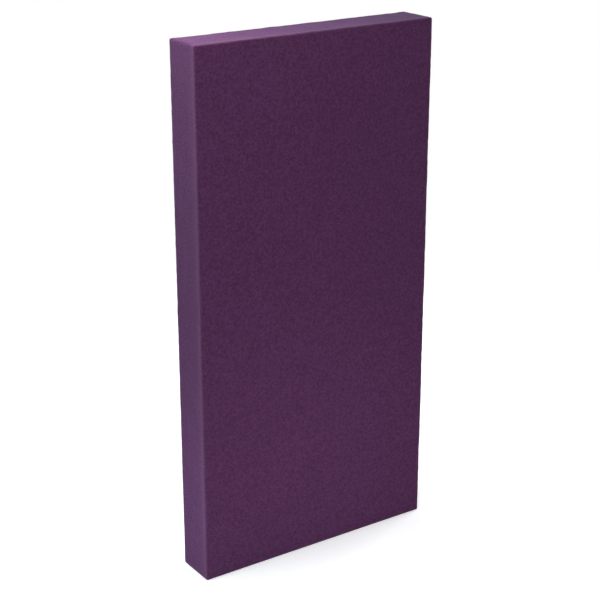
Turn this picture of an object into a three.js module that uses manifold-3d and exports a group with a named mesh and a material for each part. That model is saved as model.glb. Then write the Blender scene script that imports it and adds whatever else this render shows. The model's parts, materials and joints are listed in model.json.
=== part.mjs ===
// A cloth-wrapped acoustic foam panel on a timber frame, hung by two swinging D-rings. All lengths are millimetres.
// X runs across the panel, Y from its front face towards the wall and Z up. The origin is under its middle.
import * as THREE from 'three';
import { RoundedBoxGeometry } from 'three/addons/geometries/RoundedBoxGeometry.js';
import { mergeVertices } from 'three/addons/utils/BufferGeometryUtils.js';
import Module from 'manifold-3d';

const wasm = await Module();
wasm.setup();

// Overall size
const panelWidth = 600;
const panelHeight = 1200;
const panelDepth = 100;

// Clearance between two pieces that touch, how far a cut runs past a face, and the weld distance of vertices
const fit = 0.3;
const overrun = 2;
const weld = 0.001;

// Cloth cover
const clothThickness = 1.2;
const coverEdgeRadius = 4;
const coverEdgeSteps = 2;
const hemSetback = 1.5;

// Frame boards, and the slats behind the foam
const boardThickness = 18;
const slatWidth = 70;
const slatThickness = 18;
const slatRecess = 8.7;
const slatBlockGap = 35;

// Glue blocks in the frame's corners
const blockLeg = 60;
const blockTip = 6;

// Countersunk screws that hold the frame and the slats
const frameScrew = {
  length: 50,
  radius: 2,
  headRadius: 4,
  headHeight: 2.6,
  tipLength: 7,
  recessLength: 4.4,
  recessWidth: 1,
  recessDepth: 1.8,
};
const cornerScrewMargin = 16;
const slatScrewMargin = 15;

// D-ring hangers: a folded steel strap and a ring of wire
const hangerInset = 80.5;
const strapWidth = 12;
const strapThickness = 1;
const ringWireRadius = 1.5;
const ringInnerBend = 1.5;
const ringSidePlay = 0.5;
const ringLegLength = 2;
const ringWireSides = 10;
const ringBendSteps = 4;
const ringArcSteps = 14;
const strapArcSteps = 8;

// Pan-head screws that hold the straps
const hangerScrew = {
  radius: 1.9,
  headRadius: 3.7,
  headHeight: 2.3,
  rimHeight: 1.1,
  tipLength: 4,
  recessLength: 4.2,
  recessWidth: 0.9,
  recessDepth: 1.2,
};
const hangerScrewCover = 4.6;
const hangerScrewGap = 4.6;
const ringScrewGap = 1.3;
const screwSides = 10;

// The frame and the foam, from the panel's size
const skin = clothThickness + fit;
const frameWidth = panelWidth - 2 * skin;
const frameHeight = panelHeight - 2 * skin;
const frameDepth = panelDepth - 2 * skin;
const innerWidth = frameWidth - 2 * boardThickness;
const innerHeight = frameHeight - 2 * boardThickness;
const middleHeight = panelHeight / 2;
const frameBack = frameDepth / 2;
const hemWidth = skin + boardThickness - hemSetback;
const slatBack = frameBack - slatRecess;
const slatMiddle = slatBack - slatThickness / 2;
const slatInset = skin + boardThickness + fit + blockLeg + slatBlockGap + slatWidth / 2;
const foamThickness = frameDepth - slatRecess - slatThickness - fit;

// The hangers, from the wire and the strap
const loopInner = ringWireRadius + fit;
const loopOuter = loopInner + strapThickness;
const plateThickness = 2 * strapThickness;
const ringBendRadius = ringWireRadius + ringInnerBend;
const ringHalfWidth = strapWidth / 2 + ringSidePlay + ringBendRadius;
const ringReach = ringBendRadius + ringLegLength + ringHalfWidth + ringWireRadius;
const hangerScrewLength = slatThickness + plateThickness + 2 * fit - hangerScrewCover;
const upperScrewDrop = ringReach + ringScrewGap + hangerScrew.headRadius;
const lowerScrewDrop = upperScrewDrop + hangerScrewGap + 2 * hangerScrew.headRadius;
const strapLength = lowerScrewDrop + strapWidth / 2;
const hangerX = innerWidth / 2 - hangerInset;
const strapSeat = slatBack + fit;
const hingeZ = panelHeight - slatInset + (strapLength - loopOuter) / 2;

const finishes = {
  cloth: new THREE.MeshStandardMaterial({ color: 0x563052, roughness: 0.95, metalness: 0 }),
  foam: new THREE.MeshStandardMaterial({ color: 0x37373b, roughness: 1, metalness: 0 }),
  pine: new THREE.MeshStandardMaterial({ color: 0xd2ae7c, roughness: 0.7, metalness: 0 }),
  zinc: new THREE.MeshStandardMaterial({ color: 0xb7babd, roughness: 0.35, metalness: 1 }),
  yellowZinc: new THREE.MeshStandardMaterial({ color: 0xc9b26a, roughness: 0.4, metalness: 1 }),
};

const panel = new THREE.Group();
panel.name = 'acoustic_foam_panel';

// Turns a geometry, placed by a matrix, into a solid.
function solidFrom(geometry, matrix = new THREE.Matrix4()) {
  const loose = geometry.index ? geometry.toNonIndexed() : geometry.clone();
  loose.deleteAttribute('normal');
  loose.deleteAttribute('uv');
  const merged = mergeVertices(loose.applyMatrix4(matrix), weld);
  return new wasm.Manifold(new wasm.Mesh({
    numProp: 3,
    vertProperties: merged.attributes.position.array,
    triVerts: new Uint32Array(merged.index.array),
  }));
}

// Turns a solid back into a flat-shaded geometry.
function geometryFrom(solid) {
  const { vertProperties, triVerts } = solid.getMesh();
  const geometry = new THREE.BufferGeometry();
  geometry.setAttribute('position', new THREE.BufferAttribute(vertProperties, 3));
  geometry.setIndex(new THREE.BufferAttribute(triVerts, 1));
  const faceted = geometry.toNonIndexed();
  faceted.computeVertexNormals();
  return faceted;
}

// Adds one named piece to a group, at a place and with a turn.
function addPiece(name, geometry, finish, place = [0, 0, 0], turn = [0, 0, 0], group = panel) {
  const mesh = new THREE.Mesh(geometry, finish);
  mesh.name = name;
  mesh.position.set(...place);
  mesh.rotation.set(...turn);
  group.add(mesh);
  return mesh;
}

// Cuts a piece with a tool, or keeps only what lies inside it, wherever the two stand in the panel.
function reshape(mesh, action, tool) {
  mesh.updateMatrixWorld(true);
  tool.updateMatrixWorld(true);
  const toolToPiece = mesh.matrixWorld.clone().invert().multiply(tool.matrixWorld);
  const solid = solidFrom(mesh.geometry)[action](solidFrom(tool.geometry, toolToPiece));
  mesh.geometry = geometryFrom(solid);
}

// A cloth shell with rounded edges, open at the back inside its hem.
function makeCover() {
  const outside = new RoundedBoxGeometry(panelWidth, panelDepth, panelHeight, coverEdgeSteps, coverEdgeRadius);
  const inside = new RoundedBoxGeometry(
    panelWidth - 2 * clothThickness,
    panelDepth - 2 * clothThickness,
    panelHeight - 2 * clothThickness,
    coverEdgeSteps,
    coverEdgeRadius - clothThickness,
  );
  const mouth = new THREE.BoxGeometry(panelWidth - 2 * hemWidth, panelDepth, panelHeight - 2 * hemWidth);
  mouth.translate(0, panelDepth / 2, 0);
  const shell = solidFrom(outside).subtract(solidFrom(inside)).subtract(solidFrom(mouth));
  addPiece('fabric_cover', geometryFrom(shell), finishes.cloth, [0, 0, middleHeight]);
}

// The foam slab, level with the frame's front edge.
function makeFoam() {
  const slab = new THREE.BoxGeometry(innerWidth - 2 * fit, foamThickness, innerHeight - 2 * fit);
  addPiece('foam_core', slab, finishes.foam, [0, foamThickness / 2 - frameBack, middleHeight]);
}

// Two full-height stiles with two rails between them, their outer edges eased to fit inside the cover.
function makeFrame() {
  const radius = coverEdgeRadius - skin;
  const envelope = new THREE.Mesh(
    new RoundedBoxGeometry(frameWidth, frameDepth, frameHeight, coverEdgeSteps, radius),
  );
  envelope.position.set(0, 0, middleHeight);
  const stile = new THREE.BoxGeometry(boardThickness, frameDepth, frameHeight);
  const rail = new THREE.BoxGeometry(innerWidth - 2 * fit, frameDepth, boardThickness);
  const stileX = (frameWidth - boardThickness) / 2;
  const railZ = (frameHeight - boardThickness) / 2;
  const boards = {
    left: addPiece('frame_left_stile', stile, finishes.pine, [-stileX, 0, middleHeight]),
    right: addPiece('frame_right_stile', stile, finishes.pine, [stileX, 0, middleHeight]),
    top: addPiece('frame_top_rail', rail, finishes.pine, [0, 0, middleHeight + railZ]),
    bottom: addPiece('frame_bottom_rail', rail, finishes.pine, [0, 0, middleHeight - railZ]),
  };
  for (const board of Object.values(boards)) {
    reshape(board, 'intersect', envelope);
  }
  return boards;
}

// Three flat slats across the back of the foam, between the stiles.
function makeSlats() {
  const slat = new THREE.BoxGeometry(innerWidth - 2 * fit, slatThickness, slatWidth);
  return {
    upper: addPiece('upper_slat', slat, finishes.pine, [0, slatMiddle, panelHeight - slatInset]),
    middle: addPiece('middle_slat', slat, finishes.pine, [0, slatMiddle, middleHeight]),
    lower: addPiece('lower_slat', slat, finishes.pine, [0, slatMiddle, slatInset]),
  };
}

// A triangular glue block with blunted tips in each inner corner of the frame, level with the slats.
function makeCornerBlocks() {
  const corners = [[0, 0], [blockLeg, 0], [blockLeg, blockTip], [blockTip, blockLeg], [0, blockLeg]];
  for (const [end, up] of [['top', 1], ['bottom', -1]]) {
    for (const [side, across] of [['left', -1], ['right', 1]]) {
      const cornerX = across * (innerWidth / 2 - fit);
      const cornerZ = middleHeight + up * (innerHeight / 2 - fit);
      const outline = corners.map(([x, z]) => new THREE.Vector2(cornerX - across * x, cornerZ - up * z));
      const block = new THREE.ExtrudeGeometry(new THREE.Shape(outline), { depth: slatThickness, bevelEnabled: false });
      addPiece(`corner_block_${end}_${side}`, block, finishes.pine, [0, slatBack, 0], [Math.PI / 2, 0, 0]);
    }
  }
}

// The profile of a countersunk screw, from its tip to its flush head.
function countersunkProfile(size) {
  return [
    new THREE.Vector2(0, -size.length),
    new THREE.Vector2(size.radius, size.tipLength - size.length),
    new THREE.Vector2(size.radius, -size.headHeight),
    new THREE.Vector2(size.headRadius, 0),
    new THREE.Vector2(0, 0),
  ];
}

// The bore for that screw: the same profile grown by the clearance, and run out past the head.
function countersunkBore(size) {
  return [
    new THREE.Vector2(0, -size.length - fit),
    new THREE.Vector2(size.radius + fit, size.tipLength - size.length - fit),
    new THREE.Vector2(size.radius + fit, -size.headHeight),
    new THREE.Vector2(size.headRadius + fit, 0),
    new THREE.Vector2(size.headRadius + fit, overrun),
    new THREE.Vector2(0, overrun),
  ];
}

// The profile of a pan-head screw, whose head seats at height zero.
function panHeadProfile(size, length) {
  const shoulder = size.headRadius - size.rimHeight / 2;
  const shoulderHeight = size.rimHeight + (size.headHeight - size.rimHeight) * 2 / 3;
  return [
    new THREE.Vector2(0, -length),
    new THREE.Vector2(size.radius, size.tipLength - length),
    new THREE.Vector2(size.radius, 0),
    new THREE.Vector2(size.headRadius, 0),
    new THREE.Vector2(size.headRadius, size.rimHeight),
    new THREE.Vector2(shoulder, shoulderHeight),
    new THREE.Vector2(shoulder / 2, size.headHeight),
    new THREE.Vector2(0, size.headHeight),
  ];
}

// Revolves a screw's profile and cuts the cross recess into the top of its head.
function screwGeometry(size, profile, headTop) {
  const body = solidFrom(new THREE.LatheGeometry(profile, screwSides));
  const top = new THREE.Matrix4().makeTranslation(0, headTop, 0);
  const across = new THREE.BoxGeometry(size.recessLength, 2 * size.recessDepth, size.recessWidth);
  const along = new THREE.BoxGeometry(size.recessWidth, 2 * size.recessDepth, size.recessLength);
  return geometryFrom(body.subtract(solidFrom(across, top)).subtract(solidFrom(along, top)));
}

// Drives a countersunk screw through a stile into the end of the piece beside it, and bores both for it.
function driveFrameScrew(name, across, y, z, stile, neighbour) {
  const place = [across * frameWidth / 2, y, z];
  const turn = [0, 0, -across * Math.PI / 2];
  addPiece(name, screwGeometry(frameScrew, countersunkProfile(frameScrew), 0), finishes.yellowZinc, place, turn);
  const bore = new THREE.Mesh(new THREE.LatheGeometry(countersunkBore(frameScrew), screwSides));
  bore.position.set(...place);
  bore.rotation.set(...turn);
  reshape(stile, 'subtract', bore);
  reshape(neighbour, 'subtract', bore);
}

// Two screws at each corner of the frame, and two at each end of every slat.
function screwFrame(boards, slats) {
  const cornerStep = frameDepth / 2 - cornerScrewMargin;
  const slatStep = slatWidth / 2 - slatScrewMargin;
  for (const [side, across] of [['left', -1], ['right', 1]]) {
    for (const end of ['top', 'bottom']) {
      for (const [row, step] of [['front', -cornerStep], ['back', cornerStep]]) {
        const name = `corner_screw_${end}_${side}_${row}`;
        driveFrameScrew(name, across, step, boards[end].position.z, boards[side], boards[end]);
      }
    }
    for (const [level, slat] of Object.entries(slats)) {
      for (const [row, step] of [['high', slatStep], ['low', -slatStep]]) {
        const name = `slat_screw_${level}_${side}_${row}`;
        driveFrameScrew(name, across, slatMiddle, slat.position.z + step, boards[side], slat);
      }
    }
  }
}

// A steel strip folded double round the ring's bar: a plate with a round end below and a loop at its top.
function strapGeometry() {
  const side = new THREE.Shape();
  const meet = Math.asin((loopOuter - plateThickness) / loopOuter);
  side.moveTo(-strapLength, 0);
  side.lineTo(0, 0);
  side.absarc(0, loopOuter, loopOuter, -Math.PI / 2, Math.PI + meet, false);
  side.lineTo(-strapLength, plateThickness);
  side.closePath();
  side.holes.push(new THREE.Path().absarc(0, loopOuter, loopInner, 0, 2 * Math.PI, true));
  const folded = new THREE.ExtrudeGeometry(side, {
    depth: strapWidth,
    bevelEnabled: false,
    curveSegments: strapArcSteps,
  });
  folded.translate(0, 0, -strapWidth / 2);
  const upright = new THREE.Matrix4().makeRotationY(-Math.PI / 2);
  const front = new THREE.Shape();
  const half = strapWidth / 2;
  front.moveTo(half, 2 * loopOuter);
  front.lineTo(-half, 2 * loopOuter);
  front.lineTo(-half, half - strapLength);
  front.absarc(0, half - strapLength, half, Math.PI, 2 * Math.PI, false);
  front.closePath();
  const tongue = new THREE.ExtrudeGeometry(front, {
    depth: 4 * loopOuter,
    bevelEnabled: false,
    curveSegments: strapArcSteps,
  });
  const facing = new THREE.Matrix4().makeRotationX(Math.PI / 2).setPosition(0, 3 * loopOuter, 0);
  let strap = solidFrom(folded, upright).intersect(solidFrom(tongue, facing));
  const holeRadius = hangerScrew.radius + fit;
  for (const drop of [upperScrewDrop, lowerScrewDrop]) {
    const hole = new THREE.CylinderGeometry(holeRadius, holeRadius, 4 * plateThickness, screwSides);
    strap = strap.subtract(solidFrom(hole, new THREE.Matrix4().makeTranslation(0, 0, -drop)));
  }
  return geometryFrom(strap);
}

// Points along an arc in the ring's plane, leaving out its last one.
function arcPoints(centreX, centreZ, radius, from, to, steps) {
  return Array.from({ length: steps }, (_, i) => {
    const angle = from + (to - from) * i / steps;
    return new THREE.Vector2(centreX + radius * Math.cos(angle), centreZ + radius * Math.sin(angle));
  });
}

// The ring's centre line, hanging below its bar: a bend, a leg, a half circle, a leg and a bend.
function ringOutline() {
  const bendX = ringHalfWidth - ringBendRadius;
  const arcZ = -ringBendRadius - ringLegLength;
  return [
    ...arcPoints(bendX, -ringBendRadius, ringBendRadius, Math.PI / 2, 0, ringBendSteps),
    new THREE.Vector2(ringHalfWidth, -ringBendRadius),
    ...arcPoints(0, arcZ, ringHalfWidth, 0, -Math.PI, ringArcSteps),
    new THREE.Vector2(-ringHalfWidth, arcZ),
    ...arcPoints(-bendX, -ringBendRadius, ringBendRadius, Math.PI, Math.PI / 2, ringBendSteps),
    new THREE.Vector2(-bendX, 0),
  ];
}

// Carries the round wire along that closed line.
function ringGeometry() {
  const outline = ringOutline();
  const positions = [];
  const triangles = [];
  outline.forEach((point, i) => {
    const before = outline.at(i - 1);
    const after = outline[(i + 1) % outline.length];
    const tangent = after.clone().sub(before).normalize();
    for (let side = 0; side < ringWireSides; side++) {
      const angle = 2 * Math.PI * side / ringWireSides;
      const outward = ringWireRadius * Math.cos(angle);
      positions.push(point.x - outward * tangent.y, ringWireRadius * Math.sin(angle), point.y + outward * tangent.x);
      const nextSide = (side + 1) % ringWireSides;
      const here = i * ringWireSides;
      const there = (i + 1) % outline.length * ringWireSides;
      triangles.push(here + side, there + side, here + nextSide);
      triangles.push(here + nextSide, there + side, there + nextSide);
    }
  });
  const geometry = new THREE.BufferGeometry();
  geometry.setAttribute('position', new THREE.Float32BufferAttribute(positions, 3));
  geometry.setIndex(triangles);
  geometry.computeVertexNormals();
  return geometry;
}

// How far the hanging ring leans out, where its half circle rests on the edges of the strap's plate.
function ringLean() {
  const crossing = Math.sqrt(ringHalfWidth ** 2 - (strapWidth / 2) ** 2);
  const reach = ringBendRadius + ringLegLength + crossing;
  return Math.asin((plateThickness + fit + ringWireRadius - loopOuter) / reach);
}

// Two hangers on the upper slat: a strap, a ring and two screws each, with the slat bored for the screws.
function makeHangers(upperSlat) {
  const screw = screwGeometry(hangerScrew, panHeadProfile(hangerScrew, hangerScrewLength), hangerScrew.headHeight);
  const boreRadius = hangerScrew.radius + fit;
  const seat = plateThickness + fit;
  const boreDepth = hangerScrewLength - seat + fit;
  for (const [side, across] of [['left', -1], ['right', 1]]) {
    const hanger = new THREE.Group();
    hanger.position.set(across * hangerX, strapSeat, hingeZ);
    panel.add(hanger);
    addPiece(`hanger_strap_${side}`, strapGeometry(), finishes.zinc, [0, 0, 0], [0, 0, 0], hanger);
    addPiece(`hanger_ring_${side}`, ringGeometry(), finishes.zinc, [0, loopOuter, 0], [ringLean(), 0, 0], hanger);
    for (const [row, drop] of [['high', upperScrewDrop], ['low', lowerScrewDrop]]) {
      addPiece(`hanger_screw_${side}_${row}`, screw, finishes.zinc, [0, seat, -drop], [0, 0, 0], hanger);
      const bore = new THREE.Mesh(new THREE.CylinderGeometry(boreRadius, boreRadius, 2 * boreDepth, screwSides));
      bore.position.set(across * hangerX, strapSeat, hingeZ - drop);
      reshape(upperSlat, 'subtract', bore);
    }
  }
}

makeCover();
makeFoam();
const boards = makeFrame();
const slats = makeSlats();
makeCornerBlocks();
screwFrame(boards, slats);
makeHangers(slats.upper);

export default panel;
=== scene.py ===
"""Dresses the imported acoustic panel: plum felt over foam and a pine frame, hung by two steel D-rings.

All lengths are metres. X runs across the panel, Y from its front face towards the wall and Z up. Every piece is
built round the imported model, so it stands where the model says, and rides on the model's own bodies.
"""

from __future__ import annotations

import functools
import json
import logging
import math
from dataclasses import dataclass
from enum import Enum
from typing import Iterator, NamedTuple, Protocol, Sequence, Union

import bmesh
import bpy
import numpy as np
from bpy.types import ID, Material, Mesh, Node, NodeOutputs, NodeSocket, NodeTree, Object
from mathutils import Euler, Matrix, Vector
from numpy import ndarray


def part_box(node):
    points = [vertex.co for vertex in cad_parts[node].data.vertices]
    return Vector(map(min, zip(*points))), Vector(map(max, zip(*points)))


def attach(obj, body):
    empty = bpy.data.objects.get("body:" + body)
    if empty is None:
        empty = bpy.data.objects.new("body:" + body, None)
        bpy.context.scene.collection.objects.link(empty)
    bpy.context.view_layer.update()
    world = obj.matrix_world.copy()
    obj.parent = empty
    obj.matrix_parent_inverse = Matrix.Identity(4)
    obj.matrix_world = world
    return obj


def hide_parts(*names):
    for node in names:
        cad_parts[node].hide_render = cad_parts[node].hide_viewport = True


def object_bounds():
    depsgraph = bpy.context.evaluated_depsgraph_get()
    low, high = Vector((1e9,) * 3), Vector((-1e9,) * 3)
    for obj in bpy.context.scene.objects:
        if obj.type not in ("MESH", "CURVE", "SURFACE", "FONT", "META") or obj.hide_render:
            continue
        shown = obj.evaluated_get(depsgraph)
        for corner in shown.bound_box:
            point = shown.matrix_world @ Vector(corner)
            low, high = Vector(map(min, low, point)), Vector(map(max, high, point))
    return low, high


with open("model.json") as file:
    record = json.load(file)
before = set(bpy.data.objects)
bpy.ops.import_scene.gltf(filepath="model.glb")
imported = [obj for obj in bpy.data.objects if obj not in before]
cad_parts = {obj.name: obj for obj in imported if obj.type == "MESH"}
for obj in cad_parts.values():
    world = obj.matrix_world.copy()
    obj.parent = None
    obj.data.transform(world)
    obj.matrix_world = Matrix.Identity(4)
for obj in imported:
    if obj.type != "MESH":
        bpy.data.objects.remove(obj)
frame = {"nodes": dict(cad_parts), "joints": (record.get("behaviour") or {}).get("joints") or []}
CAD_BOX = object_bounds()

MM = 0.001
QUARTER = math.pi / 2.0
TURN = 2.0 * math.pi
SQUARE = np.array([(-1.0, -1.0), (1.0, -1.0), (1.0, 1.0), (-1.0, 1.0)])
WAVES = 40
LOG = logging.getLogger("panel")

Pair = tuple[float, float]
Colour = tuple[float, float, float]
Place = tuple[float, float, float]
Value = Union[float, tuple[float, ...], NodeSocket]


class Body(Enum):
    """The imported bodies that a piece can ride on."""

    PANEL = "panel"
    LEFT_RING = "left_ring"
    RIGHT_RING = "right_ring"


class Slot(Enum):
    """The record's material slots."""

    CLOTH = "cover_cloth"
    FOAM = "acoustic_foam"
    TIMBER = "frame_timber"
    SCREWS = "wood_screws"
    HANGERS = "hanger_steel"


class Side(Enum):
    """The panel's two sides, as seen from its front."""

    LEFT = "left"
    RIGHT = "right"


class Head(Enum):
    """The two forms of screw head on the panel."""

    COUNTERSUNK = "countersunk"
    PAN = "pan"


# Surfaces worked out as arrays


class Shell(NamedTuple):
    """A surface: its points, and its faces as rows of point numbers, anticlockwise seen from outside."""

    points: ndarray
    quads: ndarray
    others: list[list[int]]

    def repeated(self, places: ndarray) -> Shell:
        """One shell that holds a copy of this one for each set of moved points.

        Args:
            places: The moved points, by copy, point and axis.

        Returns:
            The shell of all the copies.
        """
        starts = [len(self.points) * number for number in range(len(places))]
        others = [[start + corner for corner in face] for start in starts for face in self.others]
        return Shell(places.reshape(-1, 3), np.concatenate([self.quads + start for start in starts]), others)

    def laid(self, place: Place, *axes: Place) -> Shell:
        """This shell with its X, Y and Z along these axes, from this place."""
        return self._replace(points=place + self.points @ np.array(axes))

    def mesh(self, name: str) -> Mesh:
        """Makes a mesh of this shell.

        Args:
            name: The mesh's name.

        Returns:
            The mesh.
        """
        mesh = bpy.data.meshes.new(name)
        mesh.from_pydata(self.points.tolist(), [], self.quads.tolist() + self.others)
        return mesh


def smooth(value: ndarray, start: float, stop: float) -> ndarray:
    """A soft step: 3t^2 - 2t^3, where t goes from 0 at start to 1 at stop. Start may be above stop."""
    way = np.clip((value - start) / (stop - start), 0.0, 1.0)
    return way * way * (3.0 - 2.0 * way)


def ripple(points: ndarray, shortest: float, longest: float, seed: int) -> ndarray:
    """An uneven height at each point, about -1 to 1, the same on every run.

    It is the sum of plane waves sin(2 pi (p . d) / length + phase) over random directions d, phases and lengths,
    divided by the root of the number of waves.

    Args:
        points: Points by axis, in any number of rows.
        shortest: The shortest wave's length.
        longest: The longest wave's length.
        seed: Picks the waves.

    Returns:
        One height for each point.
    """
    draw = np.random.default_rng(seed)
    heading = draw.normal(size=(WAVES, 3))
    heading /= np.linalg.norm(heading, axis=1, keepdims=True)
    length = np.exp(draw.uniform(math.log(shortest), math.log(longest), WAVES))
    phase = draw.uniform(0.0, TURN, WAVES)
    turns = points.reshape(-1, 3) @ (heading / length[:, None]).T
    height = np.sin(TURN * turns + phase).sum(axis=1) / math.sqrt(WAVES)
    return height.reshape(points.shape[:-1])


def ways(angle: ndarray) -> ndarray:
    """The flat unit way at each angle."""
    return np.stack([np.cos(angle), np.sin(angle)], axis=-1)


def deepened(flat: ndarray, depth: float | ndarray) -> ndarray:
    """Puts a depth, along Y, between the two parts of each flat point or way."""
    return np.stack([flat[..., 0], np.broadcast_to(depth, flat.shape[:-1]), flat[..., 1]], axis=-1)


def numbered(rows: int, columns: int, start: int = 0) -> ndarray:
    """Point numbers, row by row from start."""
    return start + np.arange(rows * columns).reshape(rows, columns)


def lattice(number: ndarray, round_again: bool = False) -> ndarray:
    """The quads between rows of points. Each goes to the next row, across to the next column and back.

    Args:
        number: The points' numbers by row and column.
        round_again: True where the last column joins the first.

    Returns:
        The quads, four point numbers each.
    """
    if round_again:
        number = np.concatenate([number, number[:, :1]], axis=1)
    corners = (number[:-1, :-1], number[1:, :-1], number[1:, 1:], number[:-1, 1:])
    return np.stack(corners, axis=-1).reshape(-1, 4)


def split_pinched(quads: ndarray) -> tuple[ndarray, list[list[int]]]:
    """The whole quads, and as triangles the pinched ones, whose outer or middle two corners are one point."""
    outer, inner = quads[:, 0] == quads[:, 3], quads[:, 1] == quads[:, 2]
    return quads[~(outer | inner)], quads[outer][:, :3].tolist() + quads[inner][:, [0, 1, 3]].tolist()


def tube(rings: ndarray, closed: bool) -> Shell:
    """A tube through rings of points, joined end to end or with a flat face on each end.

    Args:
        rings: Points by ring, by place round the ring, by axis. Seen along the tube, each ring runs clockwise.
        closed: True where the last ring joins the first.

    Returns:
        The tube's shell.
    """
    number = numbered(*rings.shape[:2])
    ends = [] if closed else [number[0].tolist(), number[-1, ::-1].tolist()]
    number = np.concatenate([number, number[:1]]) if closed else number
    return Shell(rings.reshape(-1, 3), lattice(number, round_again=True), ends)


def swept(path: ndarray, out: ndarray, through: ndarray, across: ndarray) -> ndarray:
    """Rings along a flat path: each point goes out of it by through and, as the last axis, off its plane by across."""
    flat = path[:, None, :] + out[:, None, :] * through[:, None]
    return np.dstack([flat, np.broadcast_to(across, flat.shape[:2])])


@dataclass
class Slab:
    """A slab with round edges: a grid over its front face, and rings of stations carried back from there.

    The stations go round the outline, anticlockwise seen from the front. place is where a station's side point or
    corner centre is on the square from -1 to 1, outward the way out of the outline there, and beside the number
    of the front grid's point next to it. For each ring, inset is how far it lies inside the outline, depth its
    place from front to back, corner the radius of its corners, and out and back the two parts of the way out of
    the surface. rings counts them over each edge, the side and the hem, which is a flat way inwards on the back.
    """

    low: Vector
    high: Vector
    radius: float
    pitch: float
    corner_cells: int
    rings: tuple[int, int, int]
    hem: float = 0.0
    mitre_radius: float = 0.0

    def __post_init__(self) -> None:
        """Works out the stations and the rings."""
        low, high = np.array([self.low, self.high])[:, [0, 2]]
        self.middle, self.half = (low + high) / 2.0, (high - low) / 2.0
        self.cells = np.rint(2.0 * (self.half - self.radius) / self.pitch).astype(int)
        self.set_stations()
        self.set_rings(self.low.y + self.radius, self.high.y - self.radius)

    def set_stations(self) -> None:
        """Walks along the bottom, up the right, back along the top and down the left, turning at each corner."""
        turns = np.linspace(0.0, QUARTER, self.corner_cells + 1)[1:-1]
        places, angles = [], []
        for quarter, (start, stop) in enumerate(zip(SQUARE, np.roll(SQUARE, -1, axis=0))):
            way = np.linspace(0.0, 1.0, self.cells[quarter % 2] + 1)[:, None]
            places += [(1.0 - way) * start + way * stop, np.repeat([stop], len(turns), axis=0)]
            angles.append(np.concatenate([np.zeros(len(way)), turns]) + (quarter - 1) * QUARTER)
        self.place, self.outward = np.concatenate(places), ways(np.concatenate(angles))
        column, row = np.rint((self.place + 1.0) / 2.0 * self.cells).astype(int).T
        self.beside = row * (self.cells[0] + 1) + column

    def set_rings(self, front: float, back: float) -> None:
        """Turns an angle a from the front, through 0 on the side, to the back.

        The inset is radius (1 - cos a), plus the way along the hem, and the depth is the centre's plus
        radius sin a.

        Args:
            front: The depth of the front edge's centre.
            back: The depth of the back edge's centre.
        """
        edge, side, hem = self.rings
        bend = np.linspace(0.0, QUARTER, edge + 1)[1:]
        angle = np.concatenate([bend - QUARTER, np.zeros(side), bend, np.full(hem, QUARTER)])
        straight = np.linspace(front, back, side + 1)[1:]
        centre = np.concatenate([np.full(edge, front), straight, np.full(edge + hem, back)])
        inwards = np.linspace(0.0, self.hem - self.radius, hem + 1)[1:]
        self.inset = self.radius * (1.0 - np.cos(angle)) + np.append(np.zeros(2 * edge + side), inwards)
        self.depth = centre + self.radius * np.sin(angle)
        self.corner = np.maximum(self.radius - self.inset, self.mitre_radius)
        self.out, self.back = ways(angle).T

    def grid(self, depth: float) -> ndarray:
        """Lays a flat grid over a face.

        Args:
            depth: The face's place from front to back.

        Returns:
            The grid's points, row by row from the bottom.
        """
        across, upright = (np.linspace(-1.0, 1.0, cells + 1) for cells in self.cells)
        place = np.stack(np.meshgrid(across, upright), axis=-1).reshape(-1, 2)
        return deepened(self.middle + place * (self.half - self.radius), depth)

    def sides(self) -> tuple[ndarray, ndarray]:
        """The rings' points, and the ways out of the surface there, each by ring, station and axis.

        A point is the middle, plus its place on the square times the half sizes less the inset and the corner's
        radius, plus the outward way times that radius.

        Returns:
            The points and the ways.
        """
        columns = (self.inset, self.depth, self.corner, self.out, self.back)
        inset, depth, corner, out, back = (column[:, None] for column in columns)
        reach = (self.half - inset - corner)[:, None, :]
        flat = self.middle + self.place * reach + self.outward * corner[..., None]
        return deepened(flat, depth), deepened(self.outward * out[..., None], back)

    def face_quads(self) -> ndarray:
        """The quads of a grid, facing the front."""
        across, upright = self.cells + 1
        return lattice(numbered(upright, across))[:, ::-1]

    def side_quads(self, rings: int, *last: ndarray) -> ndarray:
        """The quads from the front grid's outline along the rings, and to the last outline where one is given."""
        number = numbered(rings, len(self.place), np.prod(self.cells + 1))
        return lattice(np.vstack([self.beside, number, *last]), round_again=True)


# Nodes and finishes


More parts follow.
